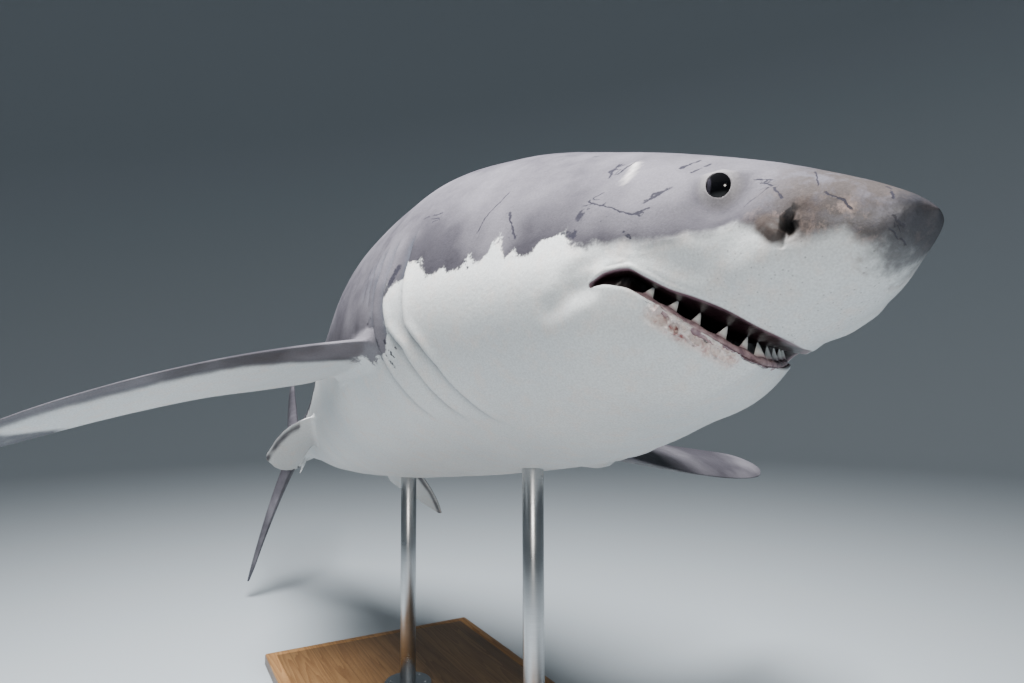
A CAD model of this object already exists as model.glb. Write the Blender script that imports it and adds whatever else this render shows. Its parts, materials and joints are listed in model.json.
"""A life-size great white shark as a still museum model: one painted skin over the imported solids, with
glossy eyes, enamel teeth and gums, held over an oak board by two brushed steel rods.

Everything is in metres. The skin is shaped in the shark's own frame (x forward from the snout tip, y to its
left, z up), where places are shares of its length, and is then pitched and banked over the stand.
"""
import json
import math

import bmesh
import bpy
import numpy as np
from mathutils import Matrix, Vector, noise
from mathutils.kdtree import KDTree

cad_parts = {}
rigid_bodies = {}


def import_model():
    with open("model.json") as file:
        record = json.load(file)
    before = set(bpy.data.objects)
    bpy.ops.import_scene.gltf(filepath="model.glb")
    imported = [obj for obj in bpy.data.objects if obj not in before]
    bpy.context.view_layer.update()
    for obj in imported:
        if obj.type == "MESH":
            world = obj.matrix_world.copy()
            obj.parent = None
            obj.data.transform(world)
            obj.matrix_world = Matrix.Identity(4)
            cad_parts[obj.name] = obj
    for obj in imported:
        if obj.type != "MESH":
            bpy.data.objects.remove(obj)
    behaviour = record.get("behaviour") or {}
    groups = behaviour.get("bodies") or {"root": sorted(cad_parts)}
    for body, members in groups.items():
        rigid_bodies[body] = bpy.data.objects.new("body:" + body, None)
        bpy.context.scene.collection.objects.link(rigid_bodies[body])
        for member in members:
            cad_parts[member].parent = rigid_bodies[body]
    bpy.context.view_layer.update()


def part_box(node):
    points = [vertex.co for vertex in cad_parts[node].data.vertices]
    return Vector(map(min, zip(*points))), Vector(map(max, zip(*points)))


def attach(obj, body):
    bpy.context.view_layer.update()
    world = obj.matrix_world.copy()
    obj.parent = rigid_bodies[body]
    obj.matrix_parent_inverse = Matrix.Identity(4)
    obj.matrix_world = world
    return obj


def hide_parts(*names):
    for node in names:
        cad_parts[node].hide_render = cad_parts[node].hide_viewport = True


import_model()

# ---------------------------------------------------------------------------------------------------------
# Camera and room
# The model stands on a wide pale floor under a broad soft light from above, as in a studio. The camera is
# near the snout on its right side, low, looking back along the body.
# ---------------------------------------------------------------------------------------------------------


def linear(colour):
    """The linear RGBA of an sRGB hex colour."""
    parts = [int(colour[i:i + 2], 16) / 255 for i in (1, 3, 5)]
    return (*[p / 12.92 if p <= 0.04045 else ((p + 0.055) / 1.055) ** 2.4 for p in parts], 1.0)


def feed(node, inputs):
    """Sets a node's inputs to values, or links them to other sockets."""
    for name, value in inputs.items():
        if isinstance(value, bpy.types.NodeSocket):
            node.id_data.links.new(value, node.inputs[name])
        else:
            node.inputs[name].default_value = value


def add(tree, kind, inputs=None, out=0, **settings):
    """Adds a node with its settings and its inputs' values or links, and gives one of its outputs."""
    node = tree.nodes.new(kind)
    for name, value in settings.items():
        setattr(node, name, value)
    feed(node, inputs or {})
    return node.outputs[out] if node.outputs else node


def new_material(name, inputs=None):
    """A new material, its node tree, and its surface shader with these inputs set."""
    material = bpy.data.materials.new(name)
    material.use_nodes = True
    surface = material.node_tree.nodes["Principled BSDF"]
    feed(surface, inputs or {})
    return material, material.node_tree, surface


def mesh_of(shape, name):
    """The mesh of a finished shape, which is then freed."""
    mesh = bpy.data.meshes.new(name)
    shape.to_mesh(mesh)
    shape.free()
    return mesh


def ring_mesh(name, rings, tip=None, open_start=False):
    """A smooth mesh between closed rings of points. Flat faces, or a tip at the last ring, close its ends."""
    shape = bmesh.new()
    rows = [[shape.verts.new(point) for point in ring] for ring in rings]
    after = [*range(1, len(rows[0])), 0]
    for row, following in zip(rows, rows[1:]):
        for i, j in enumerate(after):
            shape.faces.new((row[i], row[j], following[j], following[i]))
    if not open_start:
        shape.faces.new(rows[0])
    if tip is None:
        shape.faces.new(rows[-1])
    else:
        point = shape.verts.new(tip)
        for i, j in enumerate(after):
            shape.faces.new((rows[-1][i], rows[-1][j], point))
    if not open_start:
        bmesh.ops.recalc_face_normals(shape, faces=shape.faces)
    mesh = mesh_of(shape, name)
    mesh.shade_smooth()
    return mesh


def show(name, mesh):
    """A new object of this mesh, in the scene and at its origin."""
    thing = bpy.data.objects.new(name, mesh)
    bpy.context.scene.collection.objects.link(thing)
    return thing


def look_along(direction, roll=0.0):
    """The rotation that points a camera or lamp this way, its top turned by roll to the right."""
    return (Vector(direction).to_track_quat("-Z", "Y").to_matrix() @ Matrix.Rotation(-roll, 3, "Z")).to_4x4()


camera_data = bpy.data.cameras.new("camera")
camera_data.sensor_width = 36
camera_data.lens = 24.06
camera = show("camera", camera_data)
camera.matrix_world = (Matrix.Translation((2.1253, -0.9811, 1.2231))
                       @ look_along((-0.87674, 0.47771, 0.05581), math.radians(0.23)))
bpy.context.scene.camera = camera

world = bpy.data.worlds.new("studio")
world.use_nodes = True
feed(world.node_tree.nodes["Background"], {"Color": linear("#DCE6EE"), "Strength": 0.21})
bpy.context.scene.world = world

for name, place, size, power, colour in (("overhead_panel", (0.7, -0.9, 4.6), 2.2, 720, "#FFFFFF"),
                                         ("front_panel", (4.6, -2.6, 2.6), 0.9, 80, "#FFF8F0")):
    lamp_data = bpy.data.lights.new(name, "AREA")
    lamp_data.shape = "DISK"
    lamp_data.size = size
    lamp_data.energy = power
    lamp_data.color = linear(colour)[:3]
    lamp = show(name, lamp_data)
    lamp.visible_glossy = name == "front_panel"  # the overhead panel would whiten the top of each eye
    lamp.matrix_world = Matrix.Translation(place) @ look_along(Vector((0.3, 0, 1.2)) - Vector(place))

# A round floor that curves up into a wall, so that no line shows where it ends
FLOOR_RADIUS, CURVE_RADIUS, WALL_HEIGHT = 9.0, 6.0, 13.0
ROUND = np.linspace(0, 2 * math.pi, 96, endpoint=False)  # corners of what is turned about an upright line
sweep = [(FLOOR_RADIUS + CURVE_RADIUS, WALL_HEIGHT)]
sweep += [(FLOOR_RADIUS + CURVE_RADIUS * math.sin(angle), CURVE_RADIUS * (1 - math.cos(angle)))
          for angle in np.radians(np.arange(90, 4, -5))]
sweep += [(radius, 0.0) for radius in (FLOOR_RADIUS, 4.0, 1.0)]
floor_mesh = ring_mesh(
    "floor", [[(radius * math.cos(angle), radius * math.sin(angle), height) for angle in ROUND]
              for radius, height in sweep], open_start=True)
floor = show("floor", floor_mesh)
floor_paint, _, _ = new_material("matt_floor_paint", {"Base Color": linear("#AFB7BD"), "Roughness": 0.8})
floor_mesh.materials.append(floor_paint)

# ---------------------------------------------------------------------------------------------------------
# Skin
# One skin covers the body, jaw and fins without a seam: cast and painted in the real animal's colours, grey
# above and white below, with its mouth, eye sockets, nostrils and gill slits moulded in it.
# ---------------------------------------------------------------------------------------------------------
LENGTH = 4.2
SNOUT_PLACE, NOSE_UP, BANK = (1.58, 0.0, 1.46), math.radians(3.5), math.radians(-18)
BODY_END, TAIL_ROUNDING = 0.86, 0.0035
ARCH_START, ARCH_END, ARCH_ANGLE = 0.18, 0.81, math.radians(20)
SWING_START, SWING = 0.40, 0.09
to_world = Matrix.Translation(SNOUT_PLACE) @ Matrix.Rotation(-NOSE_UP, 4, "Y") @ Matrix.Rotation(BANK, 4, "X")


def smooth_line(points):
    """A curve through the points that never overshoots them: cubics with harmonic-mean slopes."""
    places, values = np.array(points, float).T
    steps = np.diff(places)
    rises = np.diff(values) / steps
    slopes = np.concatenate([rises[:1], np.zeros(len(rises) - 1), rises[-1:]])
    for i in range(1, len(rises)):
        if rises[i - 1] * rises[i] > 0:
            near = 2 * steps[i] + steps[i - 1]
            far = steps[i] + 2 * steps[i - 1]
            slopes[i] = (near + far) / (near / rises[i - 1] + far / rises[i])

    def value(place):
        place = np.clip(place, places[0], places[-1])
        i = np.clip(np.searchsorted(places, place, side="right") - 1, 0, len(steps) - 1)
        t = (place - places[i]) / steps[i]
        start = (2 * t**3 - 3 * t**2 + 1) * values[i] + (t**3 - 2 * t**2 + t) * steps[i] * slopes[i]
        end = (3 * t**2 - 2 * t**3) * values[i + 1] + (t**3 - t**2) * steps[i] * slopes[i + 1]
        return start + end

    return value


back_line = smooth_line([
    (0, 0), (0.003, 0.0035), (0.012, 0.0103), (0.03, 0.0205), (0.06, 0.0364), (0.10, 0.0535), (0.15, 0.0725),
    (0.21, 0.0915), (0.28, 0.1050), (0.35, 0.1065), (0.43, 0.0965), (0.52, 0.0760), (0.61, 0.0530),
    (0.70, 0.0335), (0.77, 0.0200), (0.82, 0.0150), (0.86, 0.0070)])
belly_line = smooth_line([
    (0, 0), (0.003, 0.0048), (0.012, 0.0168), (0.03, 0.0287), (0.041, 0.0344), (0.050, 0.0391),
    (0.060, 0.0441), (0.068, 0.0500), (0.09, 0.0605), (0.14, 0.0740), (0.20, 0.0860), (0.28, 0.0945),
    (0.36, 0.0970), (0.45, 0.0950), (0.54, 0.0855), (0.63, 0.0670), (0.72, 0.0370), (0.78, 0.0185),
    (0.82, 0.0145), (0.86, 0.0070)])
half_width = smooth_line([
    (0, 0), (0.003, 0.0078), (0.012, 0.0156), (0.03, 0.0304), (0.06, 0.0430), (0.10, 0.0600), (0.15, 0.0780),
    (0.21, 0.0985), (0.28, 0.1100), (0.35, 0.1090), (0.44, 0.0950), (0.54, 0.0730), (0.63, 0.0505),
    (0.71, 0.0330), (0.76, 0.0262), (0.80, 0.0250), (0.83, 0.0180), (0.86, 0.0050)])
widest_level = smooth_line([
    (0, 0), (0.03, -0.003), (0.08, -0.013), (0.14, -0.018), (0.22, -0.016), (0.35, -0.010), (0.60, -0.004),
    (0.75, 0), (0.86, 0)])
# How square the sections are above and below their widest level: 1 is an ellipse, less is squarer
upper_fullness = smooth_line([(0, 1.0), (0.06, 0.96), (0.14, 0.92), (0.30, 0.90), (0.60, 0.97), (0.74, 1.05),
                              (0.80, 1.5), (0.86, 1.2)])
lower_fullness = smooth_line([(0, 1.0), (0.03, 1.05), (0.055, 1.25), (0.075, 1.44), (0.10, 1.27),
                              (0.14, 1.05), (0.20, 0.95), (0.35, 0.92), (0.60, 0.97), (0.74, 1.05),
                              (0.80, 1.5), (0.86, 1.2)])


def axis_at(share):
    """The axis's points at these shares behind the snout, and the directions back, left and up there."""
    bend = ARCH_ANGLE / (ARCH_END - ARCH_START)
    pitch = bend * np.clip(share - ARCH_START, 0, ARCH_END - ARCH_START)
    straight = np.maximum(share - ARCH_END, 0)
    behind = np.minimum(share, ARCH_START) + np.sin(pitch) / bend + straight * np.cos(pitch)
    below = (1 - np.cos(pitch)) / bend + straight * np.sin(pitch)
    swung = np.maximum(share - SWING_START, 0)
    yaw = np.arctan(2 * SWING * swung)
    none = np.zeros_like(pitch)
    centre = np.stack([-behind, -SWING * swung**2, -below], -1)
    back = np.stack([-np.cos(pitch) * np.cos(yaw), -np.sin(yaw), -np.sin(pitch) * np.cos(yaw)], -1)
    left = np.stack([-np.cos(pitch) * np.sin(yaw), np.cos(yaw), -np.sin(pitch) * np.sin(yaw)], -1)
    up = np.stack([-np.sin(pitch), none, np.cos(pitch)], -1)
    return centre, back, left, up


def place(share, left, above):
    """Points of the shark's frame, in metres, from shares behind the snout, left and above the axis."""
    centre, _, leftward, upward = axis_at(share)
    return (centre + leftward * left[..., None] + upward * above[..., None]) * LENGTH


def section(share, turn):
    """How far left and above the axis the body's surface is, at angles from its left over its back."""
    level = widest_level(share)
    cosine, sine = np.cos(turn), np.sin(turn)
    full = np.where(sine > 0, upper_fullness(share), lower_fullness(share))
    height = np.where(sine > 0, back_line(share) - level, belly_line(share) + level)
    rounding = np.sqrt(1 - np.clip((share - BODY_END) / TAIL_ROUNDING, 0, 1) ** 2)
    left = half_width(share) * np.copysign(np.abs(cosine) ** full, cosine)
    return left * rounding, (level + height * np.copysign(np.abs(sine) ** full, sine)) * rounding


def width_at(share, above):
    """Half the body's width at heights under its widest level, in shares."""
    level = widest_level(share)
    full = lower_fullness(share)
    depth = np.clip((level - above) / np.maximum(belly_line(share) + level, 1e-6), 0, 1)
    return half_width(share) * np.maximum(1 - depth ** (2 / full), 0) ** (full / 2)


def smooth_step(value, low, high):
    """0 up to low, 1 from high on, and a smooth rise between them."""
    t = np.clip((value - low) / (high - low), 0, 1)
    return t * t * (3 - 2 * t)


# The mouth's lips in side view, as in the solids, and the pocket that the mouth is
upper_lip = smooth_line([(0.0400, -0.0460), (0.0560, -0.0400), (0.0640, -0.0352), (0.0720, -0.0321),
                         (0.0795, -0.0299), (0.0870, -0.0261), (0.0930, -0.0231), (0.1020, -0.0244),
                         (0.1120, -0.0298)])
lower_lip = smooth_line([(0.0400, -0.0520), (0.0660, -0.0488), (0.0705, -0.0456), (0.0765, -0.0420),
                         (0.0830, -0.0379), (0.0895, -0.0332), (0.0965, -0.0292), (0.1025, -0.0286),
                         (0.1115, -0.0302)])
MOUTH_CORNER, CHIN, THROAT_END = 0.1115, 0.0670, 0.150
JAW_INSET = 0.016
LIP_RADIUS = 0.007
GULLET = 0.135  # share behind the snout that the pocket narrows towards
POCKET_DEPTH = 0.60  # of the way to the gullet
PALATE_RISE, FLOOR_DROP = 0.016, 0.010
LIP_SHARE, WALL_SHARE = 0.24, 0.20  # of the band of skin that becomes a lip, and a wall of the pocket


def mouth(share, left, above):
    """Takes the band of skin between the lips into the mouth: over each lip, along a wall and down the back.

    Gives the new shares, lefts and aboves, and how far inside the mouth each point is, in metres.
    """
    opening = (upper_lip(share) - lower_lip(share)) * LENGTH
    corner = smooth_step(share, MOUTH_CORNER + 0.001, MOUTH_CORNER - 0.002)
    opening = np.maximum(opening, 0) * corner
    radius = np.minimum(LIP_RADIUS, 0.35 * opening) * corner
    top = upper_lip(share) + radius / LENGTH
    band = np.maximum(opening + 2 * radius, 1e-6)
    under = (top - above) * LENGTH
    across = under / band
    inside = (across > 0) & (across < 1) & (opening > 1e-4) & (share < MOUTH_CORNER + 0.001)
    near = np.minimum(across, 1 - across)

    towards = np.stack([GULLET - share, -left], -1)
    distance = np.linalg.norm(towards, axis=-1)
    deep = np.minimum(POCKET_DEPTH * distance * LENGTH, 2.2 * opening)
    arc = np.clip(near / LIP_SHARE, 0, 1) * math.pi / 2
    wall = np.clip((near - LIP_SHARE) / WALL_SHARE, 0, 1)
    rear = np.clip((near - LIP_SHARE - WALL_SHARE) / (0.5 - LIP_SHARE - WALL_SHARE), 0, 1)
    spread = np.where(across < 0.5, PALATE_RISE, FLOOR_DROP) * np.minimum(opening / 0.03, 1)
    inward = radius * (1 - np.cos(arc)) + (deep - radius) * np.sin(wall * math.pi / 2)
    crossed = radius * np.sin(arc) - spread * smooth_step(wall, 0, 1) * (1 - rear)
    crossed = crossed + rear * (band / 2 - radius)
    lowered = np.where(across < 0.5, crossed, band - crossed)

    new_above = top - lowered / LENGTH
    flat = smooth_step(near, LIP_SHARE * 0.5, LIP_SHARE)
    new_left = np.copysign(width_at(share, new_above), left) * (1 - flat) + left * flat
    step = inward / LENGTH / np.maximum(distance, 1e-6)
    new_share = share + towards[..., 0] * step
    new_left = new_left + towards[..., 1] * step
    moved = [np.where(inside, new, old)
             for new, old in ((new_share, share), (new_left, left), (new_above, above))]
    return *moved, np.where(inside, inward, 0.0)


def jaw_inset(share):
    """How far the lower jaw's sides lie inside the head's, most at the chin and nothing at the throat."""
    return JAW_INSET * (np.maximum(THROAT_END - share, 0) / (THROAT_END - CHIN)) ** 2


def skin_place(share, turn):
    """The skin's places before folds and slits, as shares, and how far inside the mouth they are."""
    left, above = section(share, turn)
    lip_share = np.minimum(share, MOUTH_CORNER)
    top, bottom = upper_lip(lip_share), lower_lip(lip_share)
    gap = np.maximum(top - bottom, 0.010)
    low = smooth_step((top + bottom) / 2 - above, -gap / 4, gap / 3)
    low = low * smooth_step(share, THROAT_END, MOUTH_CORNER) * smooth_step(share, CHIN - 0.009, CHIN - 0.001)
    narrowed = 1 - low * jaw_inset(share) / LENGTH / np.maximum(width_at(share, bottom), 0.010)
    share, left, above, inward = mouth(share, left, above)
    return share, left * narrowed, above, inward


def side_width(share, above):
    """Half the body's width at any height, in shares."""
    level = widest_level(share)
    depth = np.clip((above - level) / np.maximum(back_line(share) - level, 1e-6), 0, 1)
    full = upper_fullness(share)
    return np.where(above < level, width_at(share, above),
                    half_width(share) * np.maximum(1 - depth ** (2 / full), 0) ** (full / 2))


def skin_line(places, side):
    """Points in metres along, left and above, of a line on the body's side through these (share, above)."""
    share, above = np.array(places, float).T
    return np.stack([share, side * side_width(share, above), above], -1) * LENGTH


def line_distance(stations, line):
    """Distances in metres from a line, the nearest points on it, and how far along it those are."""
    best = np.full(len(stations), 1e9)
    nearest = np.zeros_like(stations)
    along = np.zeros(len(stations))
    run = 0.0
    for start, end in zip(line, line[1:]):
        step = end - start
        length = np.linalg.norm(step)
        t = np.clip((stations - start) @ step / length**2, 0, 1)
        point = start + t[:, None] * step
        distance = np.linalg.norm(stations - point, axis=1)
        closer = distance < best
        best = np.where(closer, distance, best)
        nearest[closer] = point[closer]
        along = np.where(closer, run + t * length, along)
        run += length
    return best, nearest, along, run


SIDES = (-1, 1)  # right and left
EYE_OPENING, EYE_LENGTHENED = 0.0206, 1.12  # radius of the lids' opening, and how much longer than wide it is
EYE_LOOK, EYE_LONG_WAY = (-0.45, 0.87, -0.17), (0.21, 0.77, 0.60)
EYE_SHARE, EYE_TURN, EYE_TIP, EYE_SUNK, EYE_RADIUS = 0.0655, math.radians(65), -0.22, 0.0250, 0.0340
LID_REACH = 0.085  # how far round the eye the skin rises or falls to meet the ball
LID_LIP, LID_SLOPE, LID_COVER = 0.0012, 0.42, 0.0015  # the lids' edge and slope, and the skin over the ball
SOCKET_DEPTH = 0.0045  # how far behind the ball's front the skin inside the lids lies


def eye_middle(side):
    """The eyeball's centre, in metres along, left and above, and the direction that the eye looks in."""
    left, above = section(np.array(EYE_SHARE), np.array(math.pi / 2 - side * EYE_TURN))
    sunk = np.array([0, side, EYE_TIP]) / math.hypot(1, EYE_TIP) * EYE_SUNK
    look = np.array(EYE_LOOK) * (1, side, 1)
    return np.array([EYE_SHARE, left, above]) * LENGTH - sunk, look / np.linalg.norm(look)


def round_eye(stations, side):
    """How far the places are out along the eye's look and to its side, and that as the lids' opening goes."""
    middle, look = eye_middle(side)
    long_way = np.array(EYE_LONG_WAY) * (1, side, 1)
    long_way -= look * (long_way @ look)
    long_way /= np.linalg.norm(long_way)
    outward = (stations - middle) @ look
    across = stations - middle - outward[:, None] * look
    lengthwise = across @ long_way
    radial = np.linalg.norm(across, axis=1)
    lid = np.sqrt(np.maximum(radial**2 - lengthwise**2, 0) + (lengthwise / EYE_LENGTHENED) ** 2)
    return outward, radial, lid


# Gill slits, from top to bottom as (share, above); the first three run on under the throat
GILL_SLITS = [
    [(0.2390, 0.016), (0.2340, -0.004), (0.2315, -0.031), (0.2300, -0.044), (0.2207, -0.054),
     (0.2140, -0.0627), (0.2092, -0.0757), (0.2065, -0.083)],
    [(0.2555, 0.014), (0.2530, -0.006), (0.2530, -0.031), (0.2500, -0.044), (0.2388, -0.0544),
     (0.2345, -0.066), (0.2312, -0.0765), (0.2290, -0.084)],
    [(0.2690, 0.012), (0.2670, -0.006), (0.2665, -0.028), (0.2660, -0.044), (0.2640, -0.0580),
     (0.2600, -0.072), (0.2580, -0.080), (0.2570, -0.085)],
    [(0.2800, 0.010), (0.2780, -0.008), (0.2775, -0.030)],
    [(0.2905, 0.006), (0.2890, -0.008), (0.2885, -0.026)],
]
NOSTRIL = [(0.0329, -0.0044), (0.0350, -0.0074), (0.0349, -0.0108)]
NOSTRIL_GROOVE = [(0.0349, -0.0108), (0.0358, -0.0136), (0.0367, -0.0164)]
NOSTRIL_FLAP = [(0.0412, -0.0095), (0.0380, -0.0124)]
LIP_HOLLOW = [(0.0700, -0.0235), (0.0780, -0.0200), (0.0900, -0.0160), (0.1050, -0.0180), (0.1180, -0.0285)]
CORNER_FURROW = [(0.1110, -0.0304), (0.1201, -0.0345), (0.1311, -0.0390)]
LIP_CREASES = [
    [(0.1010, -0.0222), (0.0925, -0.0206), (0.0850, -0.0240), (0.0790, -0.0277), (0.0700, -0.0305)],
    [(0.0960, -0.0185), (0.0860, -0.0195), (0.0700, -0.0225), (0.0600, -0.0262)],
    [(0.0935, -0.0200), (0.0820, -0.0222), (0.0730, -0.0262)],
]
TORN_LIP = [(0.0885, -0.0385), (0.0815, -0.0442), (0.0740, -0.0500)]
TORN_REACH, TORN_FOLD, TORN_HEIGHT, TORN_DEPTH = 0.028, 0.030, 0.0110, 0.0030
WOUND = [(0.0848, -0.0420), (0.0838, -0.0455)]
SCAR = [(0.1076, 0.0233), (0.1100, 0.0310), (0.1135, 0.0375)]
NOSTRIL_SHADE = [(0.0285, -0.0050), (0.0320, -0.0120)]
PECTORAL_SHADE = [(0.2680, -0.0420), (0.2950, -0.0440)]

# Soft forms on both sides: the line that each follows, how far it stands out or in, and how far it reaches
MOULDINGS = [
    (NOSTRIL_GROOVE, -0.0050, 0.0080),
    (NOSTRIL_FLAP, 0.0050, 0.018),
    ([(0.0300, -0.0050), (0.0325, -0.0125)], -0.0050, 0.028),  # the hollow ahead of the nostril
    ([(0.0425, -0.0195), (0.0510, -0.0245)], 0.0090, 0.055),  # the cheek
    (LIP_HOLLOW, -0.0075, 0.042),
    ([(0.0960, -0.0480), (0.1180, -0.0430)], 0.0120, 0.120),  # the jowl
    (CORNER_FURROW, -0.0080, 0.034),
    *[(crease, -0.0011, 0.006) for crease in LIP_CREASES],
]

# Healed bites and scratches on the right side: width in millimetres, then (share, above) along each
SCRATCHES = [
    (2.0, [(0.0511, 0.0136), (0.0437, 0.0112)]),
    (2.2, [(0.0478, 0.0106), (0.0435, 0.0085), (0.0398, 0.0046), (0.0363, 0.0010)]),
    (1.6, [(0.0339, 0.0163), (0.0303, 0.0110), (0.0275, 0.0061)]),
    (2.0, [(0.0246, 0.0019), (0.0208, 0.0001), (0.0175, -0.0037)]),
    (2.4, [(0.0125, 0.0076), (0.0109, 0.0064)]),
    (2.2, [(0.0099, 0.0043), (0.0078, 0.0010)]),
    (3.0, [(0.0080, -0.0055), (0.0067, -0.0078)]),
    (2.4, [(0.0093, -0.0093), (0.0083, -0.0121)]),
    (1.2, [(0.0506, 0.0001), (0.0413, 0.0077)]),
    (6.0, [(0.0868, 0.0273), (0.0837, 0.0340)]),
    (5.0, [(0.0797, 0.0232), (0.0764, 0.0301)]),
    (5.5, [(0.0916, 0.0070), (0.0846, 0.0125)]),
    (3.5, [(0.1188, 0.0270), (0.1224, 0.0389)]),
    (3.0, [(0.1158, 0.0289), (0.1150, 0.0392)]),
    (2.2, [(0.1203, 0.0123), (0.1060, 0.0062), (0.0938, 0.0007), (0.0905, -0.0004)]),
    (2.6, [(0.0938, 0.0007), (0.0871, 0.0035)]),
    (1.2, [(0.1203, 0.0123), (0.1146, 0.0168)]),
    (2.0, [(0.1814, 0.0007), (0.1809, 0.0130), (0.1767, 0.0217), (0.1752, 0.0285)]),
    (3.0, [(0.1660, 0.0132), (0.1600, 0.0040), (0.1544, -0.0041)]),
    (2.4, [(0.2394, 0.0234), (0.2319, 0.0241), (0.2213, 0.0234)]),
    (2.0, [(0.2302, 0.0186), (0.2208, 0.0183)]),
    (7.0, [(0.1844, -0.0125), (0.1792, -0.0175)]),
    (6.0, [(0.2254, -0.0070), (0.2164, -0.0151)]),
    (5.0, [(0.2345, -0.0070), (0.2330, -0.0100)]),
    (4.0, [(0.1105, 0.0097), (0.1100, 0.0093)]),
    (5.0, [(0.1080, -0.0010), (0.1077, -0.0016)]),
    (7.0, [(0.1200, 0.0060), (0.1195, 0.0010)]),
    (4.0, [(0.0954, -0.0075), (0.0923, -0.0099)]),
    (3.5, [(0.1207, -0.0042), (0.1190, -0.0050)]),
    (5.0, [(0.1245, -0.0127), (0.1243, -0.0131)]),
    (3.0, [(0.1490, 0.0536), (0.1470, 0.0540)]),
    (9.0, [(0.1218, 0.0322), (0.1195, 0.0375)]),
    (8.0, [(0.0890, 0.0105), (0.0835, 0.0135)]),
    (8.0, [(0.1214, 0.0068), (0.1218, 0.0030)]),
    (12.0, [(0.1265, -0.0045), (0.1205, -0.0065)]),
    (14.0, [(0.2440, -0.0083), (0.2504, -0.0246)]),
    (6.0, [(0.2540, -0.0060), (0.2560, -0.0290)]),
    (6.0, [(0.2797, -0.0416), (0.2727, -0.0345)]),
    (5.0, [(0.2669, -0.0330), (0.2680, -0.0390)]),
    (5.0, [(0.2986, -0.0340), (0.2950, 0.0288)]),
    (26.0, [(0.2690, -0.0480), (0.2660, -0.0505)]),
    (6.0, [(0.2568, -0.0500), (0.2560, -0.0508)]),
    (5.0, [(0.2479, -0.0539), (0.2470, -0.0546)]),
    (6.0, [(0.2585, -0.0560), (0.2550, -0.0623)]),
    (5.0, [(0.2540, -0.0545), (0.2510, -0.0600)]),
    (2.6, [(0.0905, -0.0352), (0.0872, -0.0368), (0.0848, -0.0398), (0.0815, -0.0412), (0.0788, -0.0440)]),
]

slits = {side: [skin_line(slit, side) for slit in GILL_SLITS] for side in SIDES}
scratch_lines = [skin_line(line, -1) for _, line in SCRATCHES]
torn_line = skin_line(TORN_LIP, -1)

# The grid that the skin is shaped from: rows closest together at the snout and round the tail's end
shares = np.concatenate([0.165 * (np.arange(0, 85) / 84) ** 1.35,
                         np.linspace(0.165, 0.33, 46)[1:],
                         np.linspace(0.33, 0.62, 38)[1:],
                         np.linspace(0.62, BODY_END, 38)[1:],
                         BODY_END + TAIL_ROUNDING * np.sin(np.linspace(0, math.pi / 2, 5)[1:])])
turns = np.linspace(math.pi / 2, math.pi * 5 / 2, 133)
grid = bmesh.new()
rows = [[grid.verts.new((share, turn, 0)) for turn in turns] for share in shares]
for row, following in zip(rows, rows[1:]):
    for i in range(len(turns) - 1):
        grid.faces.new((row[i], row[i + 1], following[i + 1], following[i]))


def refine(grid, wanted):
    """Splits into four the faces that the function picks by their middles' shares, lefts and aboves."""
    middles = np.array([face.calc_center_median()[:2] for face in grid.faces]).T
    picked = wanted(middles[0], *section(*middles))
    edges = {edge for face, pick in zip(grid.faces, picked) if pick for edge in face.edges}
    bmesh.ops.subdivide_edges(grid, edges=list(edges), cuts=1, use_grid_fill=True)


LIPS_START = 0.036


def near_lips(margin):
    """Picks what is this near the mouth, in shares."""
    return lambda share, left, above: (
        (above < upper_lip(share) + margin) & (above > lower_lip(share) - margin)
        & (share < MOUTH_CORNER + margin) & (share > LIPS_START))


def near_lines(lines, reach):
    """Picks what is this near any of the lines, looking only at what is inside their boxes."""
    def wanted(share, left, above):
        stations = np.stack([share, left, above], -1) * LENGTH
        picked = np.zeros(len(stations), bool)
        for line in lines:
            low, high = line.min(0) - reach, line.max(0) + reach
            inside = np.nonzero(((stations > low) & (stations < high)).all(1) & ~picked)[0]
            if len(inside):
                picked[inside] = line_distance(stations[inside], line)[0] < reach
        return picked
    return wanted


# The grid is made finer in steps near the lips, the torn lip, the eyes, the nostrils, the slits and the
# scratches. An eye is a line too, of almost no length
eyes = [eye_middle(side)[0] + np.array([[0, 0, 0], [1e-4, 0, 0]]) for side in SIDES]
nostrils = [skin_line(NOSTRIL + NOSTRIL_GROOVE[1:], side) for side in SIDES]
for margin in (0.008, 0.003):
    refine(grid, near_lips(margin))
for lines, reaches in (([torn_line], (0.030, 0.024)), (eyes, (0.080, 0.055, 0.040)),
                       (nostrils, (0.044, 0.027, 0.016)), (slits[-1] + slits[1], (0.036, 0.017)),
                       (scratch_lines, (0.014,))):
    for reach in reaches:
        refine(grid, near_lines(lines, reach))

flat = np.array([vertex.co[:2] for vertex in grid.verts])
share, left, above, inward = skin_place(*flat.T)
depth_layer = grid.verts.layers.float.new("mouth_depth")
for vertex, point, depth in zip(grid.verts, place(share, left, above), inward):
    vertex.co = point
    vertex[depth_layer] = depth
bmesh.ops.remove_doubles(grid, verts=grid.verts, dist=1e-5)
bmesh.ops.recalc_face_normals(grid, faces=grid.faces)


def body_coordinates(points):
    """The shares behind the snout, left and above the axis of points of the shark's frame."""
    share = np.clip(-points[..., 0] / LENGTH, -0.01, 1.1)
    for _ in range(8):
        centre, back, left, up = axis_at(share)
        offset = points / LENGTH - centre
        share = np.clip(share + (offset * back).sum(-1), -0.01, 1.1)
    return share, (offset * left).sum(-1), (offset * up).sum(-1)


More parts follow.
